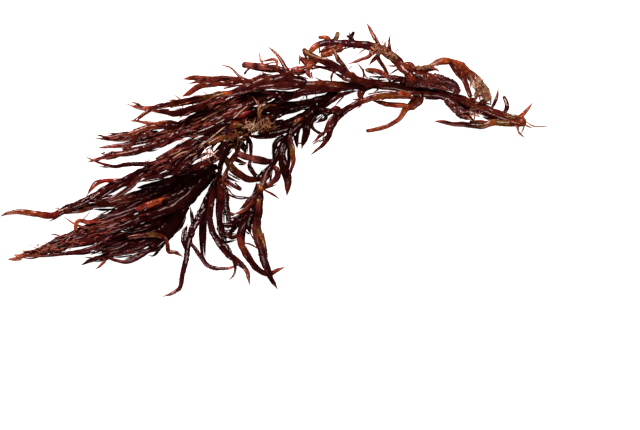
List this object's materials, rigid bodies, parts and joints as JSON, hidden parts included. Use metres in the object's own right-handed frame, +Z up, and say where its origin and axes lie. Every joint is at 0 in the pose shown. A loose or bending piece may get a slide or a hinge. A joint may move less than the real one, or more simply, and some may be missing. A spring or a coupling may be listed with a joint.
{
  "type": "red hornweed sprig",
  "caption": "Cut sprig of wet dark red seaweed lying flat: a bowed main axis that forks into long tapering fronds of narrow blades, with curled amber blades and fine side spines.",
  "frame": {"origin": "under the middle of the sprig's outline, on the surface it lies on", "axes": "+X along the sprig from the frond tips to the cut end, +Y across it towards the arched branch, +Z up"},
  "size_m": [0.2319, 0.116, 0.024],
  "materials": {
    "wine": "wet, gloss, near-black wine red",
    "russet": "wet, gloss, red-brown",
    "amber": "wet, gloss, thin and red-orange",
    "straw": "dry crust, satin, pale tan"
  },
  "bodies": {
    "root": {"frond_under": "wine", "frond_long": "wine", "drooping_frond_left": "wine", "drooping_frond_middle": "wine", "side_axis": "wine", "main_axis": "wine", "folded_blade_lower": "wine", "folded_blade_upper": "wine", "frond_left": "wine", "frond_upper_left": "wine", "fork_axis": "wine", "crossing_frond": "russet", "side_branch": "russet", "frond_tangled": "russet", "frond_top": "russet", "arch_axis": "russet", "side_axis_edge": "amber", "drooping_edge": "amber", "amber_branchlet": "amber", "amber_loop": "amber", "red_blade": "amber", "worn_blade": "amber", "amber_strand": "amber", "amber_hook": "amber", "amber_scrap": "amber", "pale_crust": "straw"}
  },
  "joints": []
}
